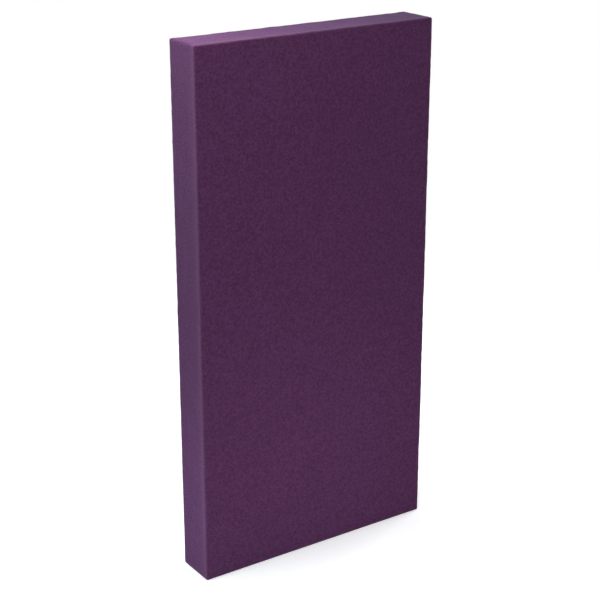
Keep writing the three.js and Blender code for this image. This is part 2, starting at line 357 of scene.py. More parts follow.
class Wiring:
    """Places shader nodes in a tree and joins their sockets."""

    def __init__(self, tree: NodeTree) -> None:
        """Starts with an empty tree."""
        self.tree = tree
        tree.nodes.clear()

    def give(self, socket: NodeSocket, value: Value) -> None:
        """Joins an output to an input, or sets the input to a constant.

        Args:
            socket: The input.
            value: The output, or the constant. A colour is three numbers.
        """
        if isinstance(value, NodeSocket):
            self.tree.links.new(value, socket)
        else:
            socket.default_value = (*value, 1.0) if socket.type == "RGBA" else value

    def add(self, kind: str, values: dict[Union[int, str], Value] | None = None, **settings: object) -> Node:
        """Adds a node.

        Args:
            kind: The shader node's Blender type, after ShaderNode.
            values: For each input, by name or number, a constant or the output that feeds it.
            settings: The node's own settings.

        Returns:
            The node.
        """
        node = self.tree.nodes.new(f"ShaderNode{kind}")
        for name, setting in settings.items():
            setattr(node, name, setting)
        for name, value in (values or {}).items():
            self.give(node.inputs[name], value)
        return node

    def math(self, operation: str, *values: Value) -> NodeSocket:
        """The result of one sum on numbers."""
        return self.add("Math", dict(enumerate(values)), operation=operation).outputs[0]

    def vector(self, operation: str, *values: Value) -> NodeSocket:
        """The result of one sum on vectors, or of LENGTH, which is a number."""
        outputs = self.add("VectorMath", dict(enumerate(values)), operation=operation).outputs
        return outputs["Value" if operation == "LENGTH" else "Vector"]

    def noise(
        self, vector: Value, scale: Value, detail: float = 2.0, rough: float = 0.5, output: str = "Fac"
    ) -> NodeSocket:
        """Cloudy noise, about 0 to 1, with patches of one over scale."""
        values = {"Vector": vector, "Scale": scale, "Detail": detail, "Roughness": rough}
        return self.add("TexNoise", values).outputs[output]

    def centred(self, vector: Value, scale: Value) -> NodeSocket:
        """Cloudy noise round 0."""
        return self.math("SUBTRACT", self.noise(vector, scale), 0.5)

    def cells(self, vector: Value, scale: float, random: float, feature: str = "F1") -> NodeSocket:
        """The distance from the middles of scattered cells, or from their edges, in cells of one over scale."""
        values = {"Vector": vector, "Scale": scale, "Randomness": random}
        return self.add("TexVoronoi", values, feature=feature).outputs["Distance"]

    def ramp(
        self, value: Value, start: float, stop: float, low: float = 0.0, high: float = 1.0, kind: str = "SMOOTHSTEP"
    ) -> NodeSocket:
        """Maps start to low and stop to high, smoothly or as the kind says, and stays there beyond them."""
        values = {"Value": value, "From Min": start, "From Max": stop, "To Min": low, "To Max": high}
        return self.add("MapRange", values, interpolation_type=kind).outputs["Result"]

    def mixed(self, share: Value, first: Value, second: Value, blend: str = "MIX") -> NodeSocket:
        """The first colour with a share of the second blended in."""
        values = {0: share, 6: first, 7: second}
        return self.add("Mix", values, data_type="RGBA", blend_type=blend).outputs[2]

    def attribute(self, name: str, output: str = "Fac") -> NodeSocket:
        """A value that the mesh carries for each of its points."""
        return self.add("Attribute", attribute_name=name, attribute_type="GEOMETRY").outputs[output]


class GroupWiring(Wiring):
    """A node group with named inputs and outputs."""

    kinds = {"Vector": "Vector", "Colour": "Color", "Tint": "Color"}

    def __init__(self, name: str, inputs: Sequence[str], outputs: Sequence[str]) -> None:
        """Makes the group's sockets, which hold a number where kinds says nothing else for their name.

        Args:
            name: The group's name.
            inputs: The inputs' names.
            outputs: The outputs' names.
        """
        super().__init__(bpy.data.node_groups.new(name, "ShaderNodeTree"))
        for way, titles in (("INPUT", inputs), ("OUTPUT", outputs)):
            for title in titles:
                kind = f"NodeSocket{self.kinds.get(title, 'Float')}"
                self.tree.interface.new_socket(title, in_out=way, socket_type=kind)
        self.source = self.tree.nodes.new("NodeGroupInput").outputs

    def finish(self, **results: NodeSocket) -> NodeTree:
        """Joins the results to the group's outputs.

        Args:
            results: The result for each output, by its name.

        Returns:
            The group's tree.
        """
        node = self.tree.nodes.new("NodeGroupOutput")
        for title, result in results.items():
            self.give(node.inputs[title], result)
        return self.tree


TONE_INPUTS = ("Vector", "Colour", "Broad Scale", "Broad Depth", "Fine Scale", "Fine Depth")
FINE_DETAIL = (5.0, 0.68)
PLATING_INPUTS = ("Vector", "Colour", "Tint", "Roughness")
PLATING_CLOUDS = (160.0, 3.0)
TINTED = (0.42, 0.66)
CLOUD_DULLS = 0.35
SCRATCH_SQUEEZE = (1.0, 9.0, 0.35)
SCRATCH_SCALE = 1400.0
SCRATCHED = (0.58, 0.7)
SCRATCH_DULLS = 0.12


@functools.cache
def uneven_tone_group() -> NodeTree:
    """A colour that is lighter and darker in patches.

    The colour is multiplied by 1 plus Depth times the sum of a broad and a fine cloudy noise, each from -1 to 1.

    Returns:
        The group, with Colour, and Height from 0 to 1.
    """
    wiring = GroupWiring("uneven_tone", TONE_INPUTS, ("Colour", "Height"))
    source = wiring.source
    fine = wiring.noise(source["Vector"], source["Fine Scale"], *FINE_DETAIL)
    both = wiring.math("MULTIPLY", wiring.centred(source["Vector"], source["Broad Scale"]), source["Broad Depth"])
    both = wiring.math("MULTIPLY_ADD", wiring.math("SUBTRACT", fine, 0.5), source["Fine Depth"], both)
    factor = wiring.math("MAXIMUM", wiring.math("MULTIPLY_ADD", both, 2.0, 1.0), 0.0)
    return wiring.finish(Colour=wiring.mixed(1.0, source["Colour"], factor, "MULTIPLY"), Height=fine)


@functools.cache
def plated_steel_group() -> NodeTree:
    """Zinc plating: faint clouds of tone, fine handling scratches, and duller, darker patches.

    Returns:
        The group, with Colour, Roughness and Height.
    """
    wiring = GroupWiring("plated_steel", PLATING_INPUTS, ("Colour", "Roughness", "Height"))
    source = wiring.source
    clouds = wiring.noise(source["Vector"], *PLATING_CLOUDS)
    scratches = wiring.noise(wiring.vector("MULTIPLY", source["Vector"], SCRATCH_SQUEEZE), SCRATCH_SCALE)
    colour = wiring.mixed(wiring.ramp(clouds, *TINTED), source["Colour"], source["Tint"])
    marks = wiring.ramp(scratches, *SCRATCHED)
    rough = wiring.math("MULTIPLY_ADD", wiring.math("SUBTRACT", clouds, 0.5), CLOUD_DULLS, source["Roughness"])
    rough = wiring.math("MULTIPLY_ADD", marks, SCRATCH_DULLS, rough)
    return wiring.finish(Colour=colour, Roughness=rough, Height=marks)


class Surface(Wiring):
    """A new material with a Principled shader on its output."""

    def __init__(self, name: str, **constants: Value) -> None:
        """Makes the material and sets what is the same all over.

        Args:
            name: The material's name.
            constants: The shader's values, by name as feed takes them.
        """
        self.material = bpy.data.materials.new(name)
        self.material.use_nodes = True
        super().__init__(self.material.node_tree)
        self.shader = self.add("BsdfPrincipled")
        self.add("OutputMaterial", {"Surface": self.shader.outputs[0]})
        self.feed(**constants)

    def feed(self, **values: Value) -> None:
        """Gives the shader's inputs their values, each by its name in small letters with underscores."""
        for title, value in values.items():
            self.give(self.shader.inputs[title.replace("_", " ").title().replace("Ior", "IOR")], value)

    def bump(self, height: NodeSocket, distance: float, strength: float = 1.0) -> NodeSocket:
        """The surface's normal, tilted by a height from 0 to 1 that stands for this distance."""
        return self.add("Bump", {"Height": height, "Distance": distance, "Strength": strength}).outputs["Normal"]

    def place(self) -> NodeSocket:
        """Where a point is on the piece."""
        return self.add("TexCoord").outputs["Object"]

    def tone(self, vector: Value, colour: Colour, broad: Pair, fine: Pair) -> NodeOutputs:
        """Places the uneven tone group. broad and fine are each a scale and a depth."""
        values = dict(zip(TONE_INPUTS, (vector, colour, *broad, *fine)))
        return self.add("Group", values, node_tree=uneven_tone_group()).outputs


class Finish(Protocol):
    """What a piece can be dressed in."""

    def material(self) -> Material:
        """The finish's material, made once."""


@dataclass(frozen=True)
class Felt:
    """Plum felted cloth: a matt body colour under a pale short nap that shows at low angles."""

    roughness: float = 0.96
    colour: Colour = (0.0628, 0.0210, 0.0602)
    nap: Colour = (0.74, 0.60, 1.0)
    nap_weight: float = 0.30
    nap_roughness: float = 0.35
    clouds: Pair = (7.0, 0.06)
    marl: Pair = (210.0, 0.90)
    curl: Place = (0.012, 0.012, 0.012)
    curl_scale: float = 260.0
    fibre_scale: float = 1500.0
    fibre_squeeze: Place = (1.0, 1.0, 0.3)
    fibres: float = 0.35
    lumps: float = 0.65
    edge_scale: float = 120.0
    edge_lumps: float = 1.8
    strand_from: Pair = (0.58, 0.72)
    strand: Colour = (0.16, 0.085, 0.17)
    strand_share: float = 0.30
    # Painted highlight: a paler colour mixed in beside the front edges, standing in for light falling on the sides.
    highlight_colour: Colour = (0.125, 0.066, 0.112)
    highlight_strength: float = 0.38
    relief: float = 0.5 * MM

    @functools.cache
    def material(self) -> Material:
        """Builds the material: marl in the colour, and curled fibres and lumps in the relief.

        It reads two attributes of the cover: edge, for the lumps of the bent cloth, and a mask for the painted
        highlight, the paler nap colour beside the front edges that stands in for light falling on the sides.

        Returns:
            The cover's material.
        """
        surface = Surface(
            "plum_felt",
            roughness=self.roughness,
            specular_ior_level=0.0,
            sheen_weight=self.nap_weight,
            sheen_roughness=self.nap_roughness,
            sheen_tint=self.nap,
        )
        place = surface.place()
        tone = surface.tone(place, self.colour, self.clouds, self.marl)
        curls = surface.noise(place, self.curl_scale, 1.0, output="Color")
        bent = surface.vector("MULTIPLY_ADD", curls, self.curl, place)
        fibres = surface.noise(surface.vector("MULTIPLY", bent, self.fibre_squeeze), self.fibre_scale)
        edge = surface.math("MULTIPLY", surface.attribute("edge"), self.edge_lumps)
        relief = surface.math("MULTIPLY", surface.centred(place, self.edge_scale), edge)
        relief = surface.math("MULTIPLY_ADD", fibres, self.fibres, relief)
        relief = surface.math("MULTIPLY_ADD", tone["Height"], self.lumps, relief)
        strands = surface.ramp(fibres, *self.strand_from, 0.0, self.strand_share)
        colour = surface.mixed(strands, tone["Colour"], self.strand)
        # Painted highlight: the colour is made paler beside the front edges, standing in for light on the sides.
        highlight = surface.math("MULTIPLY", surface.attribute("highlight"), self.highlight_strength)
        colour = surface.mixed(highlight, colour, self.highlight_colour)
        surface.feed(base_color=colour, normal=surface.bump(relief, self.relief))
        return surface.material


@dataclass(frozen=True)
class OpenCellFoam:
    """Charcoal foam, cut so that its cells stand open."""

    colour: Colour = (0.040, 0.040, 0.046)
    clouds: Pair = (5.0, 0.16)
    grain: Pair = (130.0, 0.3)
    gloss: float = 0.08
    haze: float = 0.12
    cell: float = 1.3 * MM
    wall: Pair = (0.02, 0.34)
    # Painted light and shade of the cells: how far the colour is lightened on the walls and darkened in the pits.
    lit_wall_tone: float = 1.35
    pit_shade_tone: float = 0.45
    pit_depth: float = 0.9 * MM

    @functools.cache
    def material(self) -> Material:
        """Builds the material: dark pits between paler cell walls, painted as shade and light in the colour, and in the
        relief.

        Returns:
            The foam's material.
        """
        surface = Surface("charcoal_foam", roughness=1.0, specular_ior_level=self.gloss, sheen_weight=self.haze)
        place = surface.place()
        pits = surface.ramp(surface.cells(place, 1.0 / self.cell, 1.0, "DISTANCE_TO_EDGE"), *self.wall)
        tone = surface.tone(place, self.colour, self.clouds, self.grain)
        # Painted shade: the colour is darkened in the pits, where shade falls, and lightened on the cell walls.
        shade = surface.ramp(pits, 0.0, 1.0, self.lit_wall_tone, self.pit_shade_tone, "LINEAR")
        colour = surface.mixed(1.0, tone["Colour"], shade, "MULTIPLY")
        normal = surface.bump(surface.math("SUBTRACT", 1.0, pits), self.pit_depth)
        surface.feed(base_color=colour, normal=normal)
        return surface.material


@dataclass(frozen=True)
class Pine:
    """Planed pine: yearly rings round a pith beside the board, fine pores along it and a few knots.

    It reads the attribute named grain, which gives each point's place in the log: along it, then across it. Each
    of bends, knots, pores and streaks is the share of the log's length that is kept, and the pattern's scale.
    """

    early: Colour = (0.66, 0.44, 0.22)
    late: Colour = (0.42, 0.215, 0.075)
    knot: Colour = (0.16, 0.07, 0.028)
    clouds: Pair = (2.6, 0.22)
    grain: Pair = (26.0, 0.10)
    squeeze: Place = (0.15, 0.6, 0.6)
    ring: float = 3.4 * MM
    ring_sharpness: float = 2.2
    ring_end: float = 0.93
    bends: Pair = (0.22, 14.0)
    wander: Place = (0.0, 0.016, 0.016)
    knots: Pair = (0.42, 8.5)
    knot_scatter: float = 0.9
    knot_swell: Pair = (0.26, 0.03)
    knot_push: float = 11.0 * MM
    knot_core: Pair = (0.085, 0.045)
    pores: Pair = (0.035, 1100.0)
    pored: tuple[float, ...] = (0.56, 0.78, 0.0, 0.35)
    streaks: Pair = (0.04, 160.0)
    streaked: tuple[float, ...] = (0.3, 0.7, 0.55, 0.95)
    roughness: Pair = (0.66, 0.5)
    gloss: float = 0.35
    relief: float = 0.09 * MM

    @functools.cache
    def material(self) -> Material:
        """Builds the material from the distance to the pith, in rings that darken and end sharply.

        Returns:
            The timber's material.
        """
        surface = Surface("planed_pine", specular_ior_level=self.gloss)
        log = surface.attribute("grain", "Vector")
        patterns = (self.bends, self.knots, self.pores, self.streaks)
        long = [(surface.vector("MULTIPLY", log, (share, 1.0, 1.0)), scale) for share, scale in patterns]
        bend = surface.vector("SUBTRACT", surface.noise(*long[0], output="Color"), (0.5, 0.5, 0.5))
        wavy = surface.vector("MULTIPLY_ADD", bend, self.wander, log)
        knots = surface.cells(*long[1], self.knot_scatter)
        distance = surface.vector("LENGTH", surface.vector("MULTIPLY", wavy, (0.0, 1.0, 1.0)))
        pushed = surface.math("MULTIPLY_ADD", surface.ramp(knots, *self.knot_swell), self.knot_push, distance)
        turn = surface.math("FRACT", surface.math("DIVIDE", pushed, self.ring))
        rising = surface.math("POWER", turn, self.ring_sharpness)
        ring = surface.math("MULTIPLY", rising, surface.ramp(turn, 1.0, self.ring_end))
        pores, streaks = surface.noise(*long[2]), surface.noise(*long[3])
        squeezed = surface.vector("MULTIPLY", log, self.squeeze)
        colour = surface.tone(squeezed, self.early, self.clouds, self.grain)["Colour"]
        dark = surface.math("MULTIPLY", ring, surface.ramp(streaks, *self.streaked))
        for share, stain in (
            (dark, self.late),
            (surface.ramp(pores, *self.pored), self.late),
            (surface.ramp(knots, *self.knot_core), self.knot),
        ):
            colour = surface.mixed(share, colour, stain)
        normal = surface.bump(surface.math("SUBTRACT", ring, pores), self.relief)
        surface.feed(base_color=colour, roughness=surface.ramp(ring, 0.0, 1.0, *self.roughness), normal=normal)
        return surface.material


@dataclass(frozen=True)
class Plating:
    """A metal plating on steel."""

    name: str
    colour: Colour
    tint: Colour
    roughness: float
    scratch: float = 0.012 * MM
    scratch_strength: float = 0.6

    @functools.cache
    def material(self) -> Material:
        """Builds the material from the plated steel group.

        Returns:
            The plating's material.
        """
        surface = Surface(self.name, metallic=1.0)
        values = dict(zip(PLATING_INPUTS, (surface.place(), self.colour, self.tint, self.roughness)))
        steel = surface.add("Group", values, node_tree=plated_steel_group()).outputs
        normal = surface.bump(steel["Height"], self.scratch, self.scratch_strength)
        surface.feed(base_color=steel["Colour"], roughness=steel["Roughness"], normal=normal)
        return surface.material


BRIGHT_ZINC = Plating("bright_zinc", (0.42, 0.44, 0.46), (0.27, 0.30, 0.35), 0.30)
YELLOW_ZINC = Plating("yellow_zinc", (0.52, 0.38, 0.15), (0.40, 0.32, 0.20), 0.34)
STAPLE_WIRE = Plating("staple_wire", (0.40, 0.40, 0.41), (0.26, 0.27, 0.29), 0.38)


# Pieces


def put(name: str, data: ID, place: Place = (0.0, 0.0, 0.0)) -> Object:
    """Puts data in the scene as an object.

    Args:
        name: The object's name.
        data: Its mesh, camera or lamp.
        place: Where it stands.

    Returns:
        The object.
    """
    thing = bpy.data.objects.new(name, data)
    thing.location = place
    bpy.context.scene.collection.objects.link(thing)
    return thing


def give_points(mesh: Mesh, name: str, values: ndarray) -> None:
    """Writes a mesh attribute: one number, or one vector, for each point."""
    kind, part = ("FLOAT", "value") if values.ndim == 1 else ("FLOAT_VECTOR", "vector")
    mesh.attributes.new(name, kind, "POINT").data.foreach_set(part, values.astype(np.float32).ravel())


def make_piece(mesh: Mesh, finish: Finish, body: Body, slot: Slot, node: str = "", sharp: float = 35.0) -> Object:
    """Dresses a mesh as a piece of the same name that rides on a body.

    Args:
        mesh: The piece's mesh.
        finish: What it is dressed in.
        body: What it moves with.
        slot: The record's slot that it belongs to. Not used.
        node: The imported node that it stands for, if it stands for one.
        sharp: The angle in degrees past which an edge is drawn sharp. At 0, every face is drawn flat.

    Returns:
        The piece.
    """
    if sharp:
        mesh.shade_smooth()
        mesh.set_sharp_from_angle(angle=math.radians(sharp))
    else:
        mesh.shade_flat()
    mesh.materials.append(finish.material())
    piece = put(mesh.name, mesh)
    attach(piece, body.value)
    if node:
        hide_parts(node)
    return piece


@dataclass
class HemStaples:
    """Wire staples that hold the cover's hem to the back of the frame."""

    cover_node: str = "fabric_cover"
    inset: float = 9.5 * MM
    spacing: float = 46.0 * MM
    corner_clear: float = 26.0 * MM
    astray: Place = (2.2 * MM, 0.8 * MM, 0.09)
    mitre_inset: float = 10.0 * MM
    mitre_astray: Pair = (0.6 * MM, 0.12)
    crown: float = 10.2 * MM
    leg: float = 8.0 * MM
    wire_width: float = 1.2 * MM
    wire_depth: float = 0.6 * MM
    shoulder: float = 0.8 * MM
    bend_points: int = 4
    sunk: float = 0.35 * MM
    dent: Pair = (6.0 * MM, 2.6 * MM)
    seed: int = 11

    def __post_init__(self) -> None:
        """Sets out the staples round the hem: evenly along each side, a little by hand, and one over each mitre."""
        draw = np.random.default_rng(self.seed)
        low, high = np.array(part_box(self.cover_node))
        self.back = high[1]
        outer = (high - low)[[0, 2]] / 2.0
        beside, along = outer - self.inset, outer - self.corner_clear
        places, headings = [], []
        for axis in (0, 1):
            count = int(round(2.0 * along[axis] / self.spacing)) + 1
            for way in (-1.0, 1.0):
                row = np.linspace(-along[axis], along[axis], count) + draw.normal(0.0, self.astray[0], count)
                offset = way * beside[1 - axis] + draw.normal(0.0, self.astray[1], count)
                places.append(np.roll(np.column_stack([row, offset]), axis, axis=1))
                headings.append(axis * QUARTER + draw.normal(0.0, self.astray[2], count))
        corners = np.array([(x, z) for x in (-1.0, 1.0) for z in (-1.0, 1.0)])
        places.append(corners * (outer - self.mitre_inset) + draw.normal(0.0, self.mitre_astray[0], (4, 2)))
        headings.append(-corners.prod(axis=1) * QUARTER / 2.0 + draw.normal(0.0, self.mitre_astray[1], 4))
        self.places = np.concatenate(places) + (high + low)[[0, 2]] / 2.0
        self.headings = np.concatenate(headings)

    def dents(self, points: ndarray) -> ndarray:
        """How far each point of the hem is pressed in, from 0 to 1.

        It is the sum over the staples of exp(-(a / A)^2 - (b / B)^2), no more than 1, with a along the staple, b
        across it, and A and B the two sizes of a dent.

        Args:
            points: Points by axis, in any number of rows.

        Returns:
            One number for each point.
        """
        offset = points[..., None, [0, 2]] - self.places
        axes = zip((0.0, QUARTER), self.dent)
        far = sum(((offset * ways(self.headings + turn)).sum(axis=-1) / size) ** 2 for turn, size in axes)
        return np.minimum(np.exp(-far).sum(axis=-1), 1.0)

    def staple(self) -> Shell:
        """One staple, lying along X with its legs down Y: a flat wire carried along a square bracket's path.

        Returns:
            The staple's shell, with the crown's outer face at Y 0.
        """
        out = ways(np.linspace(0.0, QUARTER, self.bend_points))
        half, bend, top = (self.crown - self.wire_depth) / 2.0, self.shoulder, self.wire_depth / 2.0
        side = np.concatenate([[(half, -self.leg)], out * bend + (half - bend, -bend)])
        side_out = np.concatenate([[(1.0, 0.0)], out])
        path, out = (np.concatenate([line, line[::-1] * (-1.0, 1.0)]) for line in (side, side_out))
        through = top * np.array([1.0, 1.0, -1.0, -1.0])
        across = self.wire_width / 2.0 * np.array([-1.0, 1.0, 1.0, -1.0])
        return tube(swept(path, out, through, across) - (0.0, top, 0.0), closed=False)

    def build(self) -> Iterator[Object]:
        """Copies the staple to every place, turned by its heading.

        Returns:
            The staples, as one piece.
        """
        one = self.staple()
        x, y, z = one.points.T[..., None, None]
        flat = self.places + x * ways(self.headings) + z * ways(self.headings + QUARTER)
        places = deepened(flat, self.back + self.wire_depth - self.sunk + y[..., 0]).swapaxes(0, 1)
        mesh = one.repeated(places).mesh("hem_staples")
        yield make_piece(mesh, STAPLE_WIRE, Body.PANEL, Slot.HANGERS, sharp=50.0)


@dataclass
class ClothCover:
    """The felt cover: over the front, round the sides and folded on to the back of the frame as a hem."""

    staples: HemStaples
    node: str = "fabric_cover"
    pitch: float = 6.0 * MM
    thickness: float = 1.2 * MM
    corner_cells: int = 6
    rings: tuple[int, int, int] = (5, 16, 7)
    edge_radius: float = 4.0 * MM
    edge_end: float = 10.0 * MM
    hem: float = 18.0 * MM
    hem_stand: float = 0.25 * MM
    press: float = 0.45 * MM
    cut_wander: float = 0.8 * MM
    cut_waves: Pair = (25.0 * MM, 160.0 * MM)
    mitre_radius: float = 0.4 * MM
    lap: float = 0.9 * MM
    lap_width: float = 24.0 * MM
    lap_spread: float = 0.8
    lap_soft: float = 0.62
    lap_under: float = 0.35
    lap_least: float = 0.001 * MM
    lap_level: Pair = (0.25, 0.85)
    relief: float = 0.22 * MM
    waves: Pair = (45.0 * MM, 260.0 * MM)
    edge_relief: float = 0.18 * MM
    edge_waves: Pair = (9.0 * MM, 42.0 * MM)
    inner_rise: float = 0.2 * MM
    rests_below: Pair = (2.0 * MM, 12.0 * MM)
    # How fast the painted highlight fades back from the front edge.
    highlight_fade: float = 10.0 * MM
    finish: Felt = Felt()

    def free(self, points: ndarray) -> ndarray:
        """How free the cloth is at each point: 1, but 0 where the panel rests on the floor."""
        return smooth(points[..., 2], *self.rests_below)

    def raised(self, points: ndarray) -> ndarray:
        """How far the stretched cloth's slow unevenness makes each point stand out."""
        return self.free(points) * self.relief * ripple(points, *self.waves, seed=3)

    def laps(self, slab: Slab) -> ndarray:
        """How far the folded corners raise the top and bottom.

        A fold lies under the top and the bottom cloth, beside each corner. It is as wide as its distance from
        the front face times its spread, up to the lap's width, and its full thickness shows only on the back.

        Args:
            slab: The slab that the cover is wrapped round.

        Returns:
            Heights by ring and station.
        """
        from_corner = (1.0 - np.abs(slab.place[:, 0])) * slab.half[0]
        behind = slab.depth - slab.depth[0]
        width = np.minimum(self.lap_spread * behind, self.lap_width)[:, None] + self.lap_least
        beside = 1.0 - smooth(from_corner / width, self.lap_soft, 1.0)
        shown = self.lap_under + (1.0 - self.lap_under) * smooth(slab.back, 0.0, 1.0)[:, None]
        return self.lap * shown * beside * smooth(slab.outward[:, 1] ** 2, *self.lap_level)

    def trimmed(self, sides: ndarray, slab: Slab) -> ndarray:
        """Cuts the hem's edge by hand, so that its last rings wander in and out.

        Args:
            sides: The rings' points.
            slab: The slab that the cover is wrapped round.

        Returns:
            The points, trimmed.
        """
        wander = self.cut_wander * ripple(sides[-1], *self.cut_waves, seed=8)
        share = smooth(slab.inset, self.hem / 2.0, self.hem)[:, None] * wander
        return sides - deepened(share[..., None] * np.trunc(slab.place), 0.0)

    def shell(self) -> Shell:
        """Works out the cloth's two faces and its cut edge.

        The outer face is the slab's surface moved along its own outward way by the cloth's unevenness, the laps
        and the staples' dents. The inner face is the smooth surface moved inwards by the cloth's thickness.

        Returns:
            The cover's closed shell.
        """
        low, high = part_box(self.node)
        shape = (self.edge_radius, self.pitch, self.corner_cells, self.rings, self.hem, self.mitre_radius)
        slab = Slab(low, high, *shape)
        sides, out = slab.sides()
        sides = self.trimmed(sides, slab)
        on_back = np.clip(slab.back, 0.0, 1.0)[:, None]
        swell = self.raised(sides) * (1.0 - on_back) + self.laps(slab)
        swell += self.edge_relief * self.free(sides) * ripple(sides, *self.edge_waves, seed=5)
        swell -= on_back * (self.press * self.staples.dents(sides) - self.hem_stand)
        face = slab.grid(low.y)
        face[:, 1] -= self.raised(face)
        stacked = [face, sides + out * swell[..., None], face + (0.0, self.thickness, 0.0)]
        stacked.append(sides + out * (np.minimum(swell, self.inner_rise) - self.thickness)[..., None])
        points = np.concatenate([part.reshape(-1, 3) for part in stacked])
        count, stations = len(points) // 2, len(slab.place)
        last = numbered(1, stations, count - stations)
        cut = lattice(np.vstack([last, last + count]), round_again=True)
        quads, pinched = split_pinched(np.concatenate([slab.face_quads(), slab.side_quads(len(sides))]))
        triangles = pinched + [[count + corner for corner in face[::-1]] for face in pinched]
        return Shell(points, np.concatenate([quads, quads[:, ::-1] + count, cut]), triangles)

    def edge_share(self, points: ndarray) -> ndarray:
        """How near each point is to an edge, by the middle one of its distances from the box's three faces."""
        low, high = np.array(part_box(self.node))
        return 1.0 - smooth(np.median(np.minimum(points - low, high - points), axis=1), self.edge_radius, self.edge_end)

    def highlight_mask(self, points: ndarray) -> ndarray:
        """How strong the painted highlight is: a soft step over the round of the front edge, then exp(-depth beyond /
        fade).
        """
        beyond = points[:, 1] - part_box(self.node)[0].y - self.edge_radius
        return smooth(beyond, -self.edge_radius, 0.0) * np.exp(-np.maximum(beyond, 0.0) / self.highlight_fade)

    def build(self) -> Iterator[Object]:
        """Makes the cover and gives its points two masks.

        Returns:
            The cover's piece.
        """
        shell = self.shell()
        mesh = shell.mesh("plum_cover")
        piece = make_piece(mesh, self.finish, Body.PANEL, Slot.CLOTH, self.node, sharp=60.0)
        give_points(mesh, "edge", self.edge_share(shell.points))
        # The mask of the painted highlight beside the front edges.
        give_points(mesh, "highlight", self.highlight_mask(shell.points))
        low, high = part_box(self.node)
        yield piece


@dataclass
class FoamSlab:
    """The foam core, level with the front of the frame and swelling a little between the slats."""

    node: str = "foam_core"
    pitch: float = 6.0 * MM
    edge_radius: float = 3.0 * MM
    corner_cells: int = 3
    rings: tuple[int, int, int] = (3, 9, 0)
    swell: float = 2.4 * MM
    full_bay: float = 0.25
    side_relief: float = 0.15 * MM
    side_waves: Pair = (12.0 * MM, 60.0 * MM)
    back_relief: float = 0.12 * MM
    back_waves: Pair = (14.0 * MM, 60.0 * MM)
    slats: tuple[str, ...] = ("lower_slat", "middle_slat", "upper_slat")
    block_reach: Pair = (70.0 * MM, 104.0 * MM)
    finish: OpenCellFoam = OpenCellFoam()

    def swelling(self, points: ndarray) -> ndarray:
        """How far the back stands out at each point.

        In each bay between two slats, u and v run from -1 to 1 across and up it. The height is the swell times
        (1 - u^6)(1 - v^4), less in a short bay, and none near the corner blocks.

        Args:
            points: Points on the flat back.

        Returns:
            One height for each point.
        """
        low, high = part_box(self.node)
        slats = [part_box(slat) for slat in self.slats]
        starts = [low.z] + [top.z for _, top in slats]
        stops = [bottom.z for bottom, _ in slats] + [high.z]
        across = np.clip(points[:, 0] / high.x, -1.0, 1.0)
        height = np.zeros(len(points))
        for start, stop in zip(starts, stops):
            up = np.clip((2.0 * points[:, 2] - start - stop) / (stop - start), -1.0, 1.0)
            height += min(1.0, (stop - start) / self.full_bay) * (1.0 - across**6) * (1.0 - up**4)
        from_sides = high.x - np.abs(points[:, 0])
        from_ends = np.minimum(points[:, 2] - low.z, high.z - points[:, 2])
        return self.swell * height * smooth(from_sides + from_ends, *self.block_reach)

    def shell(self) -> Shell:
        """Works out the slab: a grid on its front, rings round its sides and a grid on its back.

        Returns:
            The slab's closed shell.
        """
        low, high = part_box(self.node)
        slab = Slab(low, high, self.edge_radius, self.pitch, self.corner_cells, self.rings)
        sides, out = (part[:-1] for part in slab.sides())
        sides += out * (self.side_relief * (ripple(sides, *self.side_waves, seed=21) - 1.0))[..., None]
        front, back = slab.grid(low.y), slab.grid(high.y)
        uneven = self.back_relief * (ripple(back, *self.back_waves, seed=22) - 1.0)
        back[:, 1] += self.swelling(back) + uneven
        points = np.concatenate([front, sides.reshape(-1, 3), back])
        tail = len(points) - len(back)
        strip, triangles = split_pinched(slab.side_quads(len(sides), tail + slab.beside))
        return Shell(points, np.concatenate([slab.face_quads(), strip, slab.face_quads()[:, ::-1] + tail]), triangles)

    def build(self) -> Iterator[Object]:
        """Makes the slab.

        Returns:
            The slab's piece.
        """
        mesh = self.shell().mesh("foam_slab")
        piece = make_piece(mesh, self.finish, Body.PANEL, Slot.FOAM, self.node, sharp=60.0)
        yield piece


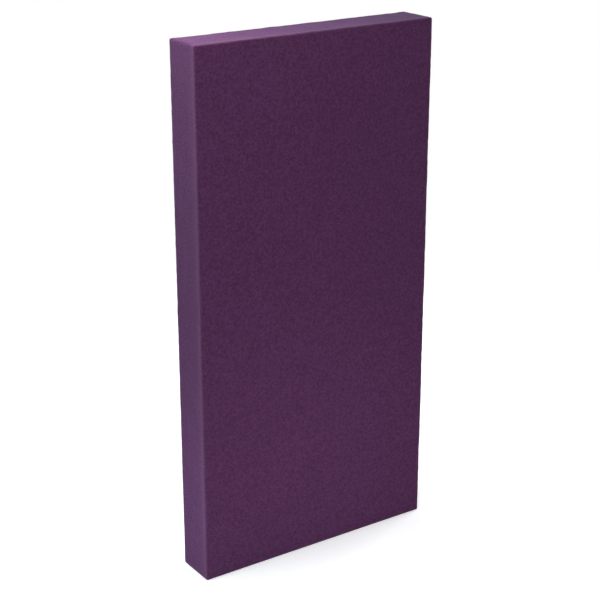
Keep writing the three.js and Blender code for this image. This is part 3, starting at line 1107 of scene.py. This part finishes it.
@dataclass
class Board:
    """One planed board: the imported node's own shape with its long edges eased, and its place in the log."""

    node: str
    along: Place
    pith: Pair
    start: float
    drift: float = 0.025
    ease: float = 1.0 * MM
    eased_from: float = 25.0 * MM
    eased_past: float = math.radians(40.0)
    loose: float = 0.002 * MM
    level: float = math.radians(0.5)

    def place_in_log(self, points: ndarray) -> ndarray:
        """Turns points on the board into places in the log.

        The first number is the distance along the board, from the log's start. The others are the distances
        across it from the pith, which drifts with the way along, so that the rings run out in arches.

        Args:
            points: Points on the board.

        Returns:
            Places in the log.
        """
        along, through = np.array(self.along) / np.linalg.norm(self.along), np.array([0.0, 1.0, 0.0])
        axes = np.array([along, np.cross(along, through), through])
        way, side, depth = axes @ (points - points.mean(axis=0)).T
        return np.column_stack([way + self.start, side + self.pith[0], depth + self.pith[1] + self.drift * way])

    def build(self, finish: Pine) -> Object:
        """Copies the node's mesh, merges its loose triangles, eases its long sharp edges and adds its grain.

        Args:
            finish: The board's finish.

        Returns:
            The board's piece.
        """
        work = bmesh.new()
        work.from_mesh(frame["nodes"][self.node].data)
        bmesh.ops.remove_doubles(work, verts=work.verts, dist=self.loose)
        bmesh.ops.dissolve_limit(work, angle_limit=self.level, verts=work.verts, edges=work.edges)
        long = [edge for edge in work.edges if edge.calc_length() > self.eased_from and edge.is_manifold]
        sharp = [edge for edge in long if edge.calc_face_angle() > self.eased_past]
        bmesh.ops.bevel(work, geom=sharp, offset=self.ease, segments=2, profile=0.5, affect="EDGES", clamp_overlap=True)
        mesh = bpy.data.meshes.new(f"{self.node}_pine")
        work.to_mesh(mesh)
        work.free()
        points = np.empty(len(mesh.vertices) * 3, dtype=np.float32)
        mesh.vertices.foreach_get("co", points)
        give_points(mesh, "grain", self.place_in_log(points.reshape(-1, 3).astype(float)))
        return make_piece(mesh, finish, Body.PANEL, Slot.TIMBER, self.node, sharp=0.0)


@dataclass
class TimberFrame:
    """The pine frame: two stiles, two rails, three slats and four glue blocks."""

    finish: Pine = Pine()
    boards: tuple[Board, ...] = (
        Board("frame_left_stile", (0.0, 0.0, 1.0), (0.030, 0.052), 3.0),
        Board("frame_right_stile", (0.0, 0.0, 1.0), (-0.024, 0.061), 9.0),
        Board("frame_top_rail", (1.0, 0.0, 0.0), (0.018, 0.070), 15.0),
        Board("frame_bottom_rail", (1.0, 0.0, 0.0), (-0.020, 0.048), 21.0),
        Board("upper_slat", (1.0, 0.0, 0.0), (0.012, -0.046), 27.0),
        Board("middle_slat", (1.0, 0.0, 0.0), (-0.022, -0.034), 33.0),
        Board("lower_slat", (1.0, 0.0, 0.0), (0.004, -0.058), 39.0),
        Board("corner_block_top_left", (1.0, 0.0, 1.0), (0.020, -0.040), 45.0),
        Board("corner_block_top_right", (1.0, 0.0, -1.0), (-0.028, -0.050), 51.0),
        Board("corner_block_bottom_left", (1.0, 0.0, -1.0), (0.034, -0.030), 57.0),
        Board("corner_block_bottom_right", (1.0, 0.0, 1.0), (-0.016, -0.060), 63.0),
    )

    def build(self) -> Iterator[Object]:
        """Makes each board."""
        for board in self.boards:
            yield board.build(self.finish)


@dataclass(frozen=True)
class Screw:
    """A wood screw with a cross recess, in its own axes: the tip points down Z and the head seats at height 0."""

    head: Head = Head.COUNTERSUNK
    length: float = 50.0 * MM
    radius: float = 1.75 * MM
    head_radius: float = 4.0 * MM
    head_height: float = 2.6 * MM
    tip: float = 7.0 * MM
    recess_reach: float = 4.4 * MM
    recess_width: float = 1.0 * MM
    recess_depth: float = 1.8 * MM
    around: int = 20
    plain: float = 0.3
    recess_slope: float = 0.22 * MM
    head_rings: int = 13
    rim: float = 0.48
    crown: float = 0.8
    lip: float = 0.12
    foot: float = 0.94
    thread_pitch: float = 1.8 * MM
    thread_height: float = 0.28 * MM
    thread_steps: int = 6
    thread_fade: Pair = (0.1, 0.6)
    ridge: float = 1.6

    def outline(self) -> tuple[ndarray, ndarray, ndarray]:
        """The screw's half section from the middle of its head to its tip.

        Returns:
            Radii, heights, and a share that is 1 where there is thread.
        """
        steps = np.linspace(0.0, 1.0, self.head_rings + 1)[1:]
        tall, wide, lip = self.head_height, self.head_radius, self.lip * self.head_height
        if self.head is Head.PAN:
            top_radius, top = wide * np.sin(steps * QUARTER), np.cos(steps * QUARTER) ** self.crown
            top = tall * (self.rim + (1.0 - self.rim) * top)
            under_radius, under = (wide, self.foot * wide, self.radius), (lip, 0.0, 0.0)
        else:
            top_radius, top = wide * steps, np.zeros(len(steps))
            under_radius, under = (wide, self.radius), (-lip, -tall)
        end = self.tip - self.length
        shank = np.linspace(under[-1], end, int(self.thread_steps * self.length / self.thread_pitch))[1:]
        radii = [top_radius, under_radius, np.full(len(shank), self.radius), self.radius * (1.0 - steps)]
        heights = np.concatenate([top, under, shank, end - self.tip * steps])
        start = under[-1] - self.plain * self.length
        thread = smooth(heights, start, start - self.thread_pitch)
        thread *= smooth(heights, *(share * self.tip - self.length for share in self.thread_fade))
        return np.concatenate(radii), heights, thread

    def shell(self) -> Shell:
        """Turns the half section about Z, with the thread wound on it and the recess sunk in its head.

        The thread adds its height times 1 - ridge |2f - 1|, where that is above 0, with f the part of a turn left
        over from height over pitch plus angle over a turn. The recess is a cross of two slots with sloping walls.

        Returns:
            The screw's closed shell.
        """
        radii, heights, thread = (column[:, None] for column in self.outline())
        angle = np.linspace(0.0, TURN, self.around, endpoint=False)
        turn = np.mod(heights / self.thread_pitch + angle / TURN, 1.0)
        ridge = np.clip(1.0 - self.ridge * np.abs(2.0 * turn - 1.0), 0.0, 1.0)
        flat = (radii + self.thread_height * thread * ridge)[..., None] * ways(angle)
        reach, half, slope = self.recess_reach / 2.0, self.recess_width / 2.0, self.recess_slope
        within = smooth(np.abs(flat), reach, reach - 2.0 * slope)
        slots = within * smooth(np.abs(flat), half + slope, half - slope)[..., ::-1]
        on_top = np.arange(len(radii))[:, None] < self.head_rings - 1
        rings = np.dstack([flat, heights - self.recess_depth * slots.max(axis=-1) * on_top])[:-1]
        ends = [(0.0, 0.0, heights[0, 0] - self.recess_depth), (0.0, 0.0, -self.length)]
        number = numbered(*rings.shape[:2])
        edges = zip((number.size, number.size + 1), (number[0], number[-1, ::-1]))
        fans = [[tip, *pair] for tip, edge in edges for pair in zip(edge.tolist(), np.roll(edge, -1).tolist())]
        return Shell(np.concatenate([rings.reshape(-1, 3), ends]), lattice(number, round_again=True), fans)


PAN_SCREW = Screw(
    head=Head.PAN,
    length=16.0 * MM,
    radius=1.6 * MM,
    head_radius=3.7 * MM,
    head_height=2.3 * MM,
    tip=4.0 * MM,
    recess_reach=4.2 * MM,
    recess_width=0.9 * MM,
    recess_depth=1.2 * MM,
    around=48,
    plain=0.12,
)


@dataclass
class FrameScrews:
    """The countersunk screws through the stiles, two at each corner and two at each end of every slat."""

    pattern: Screw = Screw()
    prefixes: tuple[str, str] = ("corner_screw_", "slat_screw_")
    finish: Plating = YELLOW_ZINC

    def build(self) -> Iterator[Object]:
        """Puts a screw where each packed one is, its head outwards.

        Returns:
            The screws' pieces.
        """
        shell = self.pattern.shell()
        for node in sorted(name for name in frame["nodes"] if name.startswith(self.prefixes)):
            low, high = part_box(node)
            way = math.copysign(1.0, low.x)
            head = (high.x if way > 0.0 else low.x, (low.y + high.y) / 2.0, (low.z + high.z) / 2.0)
            placed = shell.laid(head, (0.0, way, 0.0), (0.0, 0.0, 1.0), (way, 0.0, 0.0))
            yield make_piece(placed.mesh(f"{node}_steel"), self.finish, Body.PANEL, Slot.SCREWS, node)


@dataclass
class Hanger:
    """One D-ring hanger: a strap folded round the ring's bar, the ring, and the two screws that hold the strap."""

    side: Side
    strip: float = 1.0 * MM
    strip_width: float = 12.0 * MM
    narrowest: float = 0.02 * MM
    end_start: float = 0.06
    parting: float = 0.04 * MM
    wire: float = 1.5 * MM
    bend: float = 3.0 * MM
    half_width: float = 9.5 * MM
    leg: float = 2.0 * MM
    fit: float = 0.3 * MM
    fillet: float = 1.5 * MM
    ease: float = 0.14 * MM
    loop_steps: tuple[int, int, int] = (40, 12, 14)
    ring_steps: tuple[int, int, int] = (10, 40, 20)
    screw: Screw = PAN_SCREW
    finish: Plating = BRIGHT_ZINC

    def __post_init__(self) -> None:
        """Reads the hinge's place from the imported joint, and the strap's from its node."""
        joint = next(each for each in frame["joints"] if each["name"] == f"{self.side.value}_ring_swing")
        self.hinge = np.array(joint["pos_m"], dtype=float)
        self.strap_node = f"hanger_strap_{self.side.value}"

    def strap(self) -> Shell:
        """Carries a flat strip with eased edges along the strap's folded line.

        The line goes up the slat, round the ring's bar at the bar's radius plus its clearance, back through a
        small fillet and down over itself. Near each end the strip narrows as a half circle. The strip's cross
        section is a rectangle with chamfered corners, a little thinner than the strip, so that the fold's two
        layers stay apart.

        Returns:
            The strap's shell.
        """
        low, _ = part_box(self.strap_node)
        bar = self.hinge[1:]
        radius = self.wire + self.fit + self.strip / 2.0
        inner, outer = low.y + self.strip / 2.0, low.y + 1.5 * self.strip
        turned = outer + self.fillet - bar[0]
        drop = math.sqrt((radius + self.fillet) ** 2 - turned**2)
        meet = math.atan2(-drop, turned)
        loop_steps, back_steps, end_steps = self.loop_steps
        loop = ways(np.linspace(math.pi, meet, loop_steps))
        back = ways(np.linspace(meet + math.pi, math.pi, back_steps))
        half = self.strip_width / 2.0
        end = half * (ways(np.linspace(self.end_start, QUARTER, end_steps)) * (-1.0, 1.0) + (1.0, 0.0))
        rise, narrowed = low.z + end[:, 0], end[:, 1]
        up = np.column_stack([np.full(len(end), inner), rise])
        down = np.column_stack([np.full(len(end), outer), rise[::-1]])
        path = np.concatenate([up, bar + radius * loop, bar + (turned, -drop) + self.fillet * back, down])
        left = np.tile((-1.0, 0.0), (len(end), 1))
        out = np.concatenate([left, loop, -back, -left])
        middle = np.full(len(path) - 2 * len(end), half)
        width = np.concatenate([narrowed, middle, narrowed[::-1]])[:, None]
        through = (self.strip - self.parting) / 2.0 - self.ease * np.array([1.0, 0.0, 0.0, 1.0])
        eased = self.ease * np.array([0.0, 1.0, 1.0, 0.0] * 2)
        sign = np.repeat([-1.0, 1.0, -1.0], [2, 4, 2])
        rings = swept(path, out, np.append(through, -through), sign * np.maximum(width - eased, self.narrowest))
        return tube(np.roll(rings, 1, axis=-1)[:, ::-1] + (self.hinge[0], 0.0, 0.0), closed=False)

    def ring(self) -> Shell:
        """Carries a round wire along the ring's line, hanging from the bar and leaning on the strap.

        The line is two quarter bends and a half circle, with straights between them. The lean is the angle
        whose sine is the strip's thickness over the distance from the bar to the crossing with the strap's edge.

        Returns:
            The ring's shell.
        """
        bend_x, (bend_steps, bow_steps, around) = self.half_width - self.bend, self.ring_steps
        arcs = (
            (bend_x, -self.bend, self.bend, (QUARTER, 0.0, bend_steps)),
            (0.0, -self.bend - self.leg, self.half_width, (0.0, -math.pi, bow_steps)),
            (-bend_x, -self.bend, self.bend, (math.pi, QUARTER, bend_steps)),
        )
        out = [ways(np.linspace(*turn)) for *_, turn in arcs]
        line = [(x, z) + radius * way for (x, z, radius, _), way in zip(arcs, out)]
        through, across = self.wire * ways(np.linspace(0.0, TURN, around, endpoint=False)).T
        x, up, depth = np.moveaxis(swept(np.concatenate(line), np.concatenate(out), through, across), -1, 0)
        crossing = math.sqrt(self.half_width**2 - (self.strip_width / 2.0) ** 2)
        lean = math.asin(self.strip / (self.bend + self.leg + crossing))
        y, z = depth * math.cos(lean) - up * math.sin(lean), depth * math.sin(lean) + up * math.cos(lean)
        return tube(self.hinge + np.stack([x, y, z], axis=-1), closed=True)

    def build(self) -> Iterator[Object]:
        """Makes the strap, the ring and the screws.

        Returns:
            Their pieces.
        """
        side = self.side.value
        body = Body.LEFT_RING if self.side is Side.LEFT else Body.RIGHT_RING
        parts = [
            (f"{side}_strap_steel", self.strap(), Body.PANEL, self.strap_node),
            (f"{side}_ring_wire", self.ring(), body, f"hanger_ring_{side}"),
        ]
        for row in ("high", "low"):
            node = f"hanger_screw_{side}_{row}"
            low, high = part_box(node)
            head = ((low.x + high.x) / 2.0, high.y - self.screw.head_height, (low.z + high.z) / 2.0)
            placed = self.screw.shell().laid(head, (-1.0, 0.0, 0.0), (0.0, 0.0, 1.0), (0.0, 1.0, 0.0))
            parts.append((f"{node}_steel", placed, Body.PANEL, node))
        for name, shell, rides_on, node in parts:
            yield make_piece(shell.mesh(name), self.finish, rides_on, Slot.HANGERS, node)


# Camera, floor and light

WHITE: Colour = (1.0, 1.0, 1.0)
WARM: Colour = (1.0, 0.91, 0.89)
COOL: Colour = (0.81, 0.965, 1.0)


@dataclass(frozen=True)
class PhotographCamera:
    """The camera at the photograph's viewing angle, for a square picture."""

    name: str = "photograph_camera"
    place: Place = (-1.7544, -2.5656, 1.7340)
    yaw: float = 34.14
    pitch: float = 20.16
    lens: float = 88.98
    sensor: float = 36.0

    def set_up(self) -> None:
        """Makes the camera. Yaw turns it from +Y towards +X, and pitch tips it down, in degrees."""
        data = bpy.data.cameras.new(self.name)
        data.lens, data.sensor_width, data.sensor_fit = self.lens, self.sensor, "HORIZONTAL"
        camera = put(self.name, data, self.place)
        camera.rotation_euler = Euler((math.radians(90.0 - self.pitch), 0.0, -math.radians(self.yaw)))
        bpy.context.scene.camera = camera


def looked_at(wiring: Wiring) -> NodeSocket:
    """Tells what is looked at, straight, mirrored or through glass, from what only sends light.

    Args:
        wiring: The shader tree.

    Returns:
        1 for what is looked at, and 0 for the rest.
    """
    path = wiring.add("LightPath").outputs
    seen = wiring.math("MAXIMUM", path["Is Camera Ray"], path["Is Glossy Ray"])
    return wiring.math("MAXIMUM", seen, path["Is Transmission Ray"])


@dataclass(frozen=True)
class StudioFloor:
    """A plain pale floor that is white further out and keeps the panel's shadow near it."""

    name: str = "studio_floor"
    reach: float = 14.0
    below: float = 0.2 * MM
    colour: Colour = (0.86, 0.86, 0.87)
    lift: float = 0.34
    shadow_reach: Pair = (0.9, 2.2)

    def set_up(self) -> None:
        """Makes the floor, just under the panel."""
        points = np.column_stack([SQUARE * self.reach, np.full(4, CAD_BOX[0].z - self.below)])
        mesh = Shell(points, numbered(1, 4), []).mesh(self.name)
        mesh.materials.append(self.material())
        put(self.name, mesh)

    def material(self) -> Material:
        """A matt floor. What looks at it sees a little white added, and plain white further out.

        Returns:
            The floor's material.
        """
        material = bpy.data.materials.new(self.name)
        material.use_nodes = True
        wiring = Wiring(material.node_tree)
        matt = wiring.add("BsdfDiffuse", {"Color": self.colour}).outputs[0]
        white = wiring.add("Emission", {"Color": WHITE, "Strength": 1.0}).outputs[0]
        seen = looked_at(wiring)
        lift = wiring.add("Emission", {"Strength": wiring.math("MULTIPLY", seen, self.lift)}).outputs[0]
        near = wiring.add("AddShader", {0: matt, 1: lift}).outputs[0]
        away = wiring.vector("LENGTH", wiring.add("TexCoord").outputs["Object"])
        far = wiring.math("MULTIPLY", wiring.ramp(away, *self.shadow_reach), seen)
        mixed = wiring.add("MixShader", {0: far, 1: near, 2: white}).outputs[0]
        wiring.add("OutputMaterial", {"Surface": mixed})
        return material


@dataclass(frozen=True)
class Softbox:
    """A square soft lamp that faces a point."""

    name: str
    place: Place
    aim: Place
    size: float
    power: float
    colour: Colour = WHITE

    def set_up(self) -> None:
        """Makes the lamp."""
        data = bpy.data.lights.new(self.name, "AREA")
        data.shape, data.size, data.energy, data.color = "SQUARE", self.size, self.power, self.colour
        lamp = put(self.name, data, self.place)
        lamp.rotation_euler = (Vector(self.aim) - Vector(self.place)).to_track_quat("-Z", "Y").to_euler()
        lamp.visible_camera = False


@dataclass(frozen=True)
class StudioLight:
    """The lamps and the pale room round them."""

    lamps: tuple[Softbox, ...] = (
        Softbox("over_left_end", (-0.45, 0.15, 2.0), (-0.35, 0.0, 1.2), 0.4, 3.4, WARM),
        Softbox("top_left_end", (-0.34, 0.1, 1.65), (-0.3, 0.0, 1.2), 0.2, 4.9),
        Softbox("graze_left_end", (-1.0, 0.1, 1.4), (0.0, 0.0, 1.2), 0.3, 1.9),
        Softbox("front_left_top", (-0.8, -0.9, 1.8), (-0.3, 0.0, 1.1), 0.4, 8.9),
        Softbox("front_right_top", (0.7, -0.9, 1.85), (0.25, 0.0, 1.15), 0.4, 4.3),
        Softbox("front_low_left", (-0.9, -2.4, 0.6), (0.0, 0.0, 0.5), 0.9, 4.0),
        Softbox("front_foot", (0.0, -0.75, 0.14), (0.0, 0.0, 0.12), 0.25, 1.85),
        Softbox("left_front_low", (-1.9, -1.5, 0.5), (-0.1, 0.0, 0.3), 0.8, 10.8, COOL),
        Softbox("left_side", (-2.4, 0.2, 0.75), (0.0, 0.0, 0.6), 0.8, 13.9, COOL),
        Softbox("left_foot", (-0.62, -0.05, 0.2), (-0.3, -0.03, 0.18), 0.15, 0.60, COOL),
        Softbox("right_side", (2.3, 0.4, 0.7), (0.0, 0.0, 0.6), 0.9, 40.0),
        Softbox("back_right", (1.4, 2.4, 0.7), (0.0, 0.0, 0.6), 0.9, 30.0),
        Softbox("back_left", (-0.5, 2.6, 0.7), (0.0, 0.0, 0.6), 0.9, 17.0),
    )
    room: Colour = WHITE
    room_strength: float = 0.22

    def set_up(self) -> None:
        """Hangs the lamps and sets the room, which looks white to the camera and in reflections."""
        for lamp in self.lamps:
            lamp.set_up()
        world = bpy.data.worlds.new("pale_room")
        world.use_nodes = True
        bpy.context.scene.world = world
        wiring = Wiring(world.node_tree)
        lit = wiring.add("Background", {"Color": self.room, "Strength": self.room_strength}).outputs[0]
        white = wiring.add("Background", {"Color": WHITE, "Strength": 1.0}).outputs[0]
        mixed = wiring.add("MixShader", {0: looked_at(wiring), 1: lit, 2: white}).outputs[0]
        wiring.add("OutputWorld", {"Surface": mixed})
        bpy.context.scene.view_settings.view_transform = "Standard"


def main() -> None:
    """Sets up the view and builds the panel's assemblies in order, reporting each piece."""
    logging.basicConfig(level=logging.INFO, format="%(name)s: %(message)s")
    for view in (PhotographCamera(), StudioFloor(), StudioLight()):
        view.set_up()
    staples = HemStaples()
    hangers = (Hanger(side) for side in Side)
    for assembly in (FoamSlab(), TimberFrame(), FrameScrews(), ClothCover(staples), staples, *hangers):
        for piece in assembly.build():
            LOG.info("%s: %s with %d faces", type(assembly).__name__, piece.name, len(piece.data.polygons))


if __name__ == "__main__":
    main()
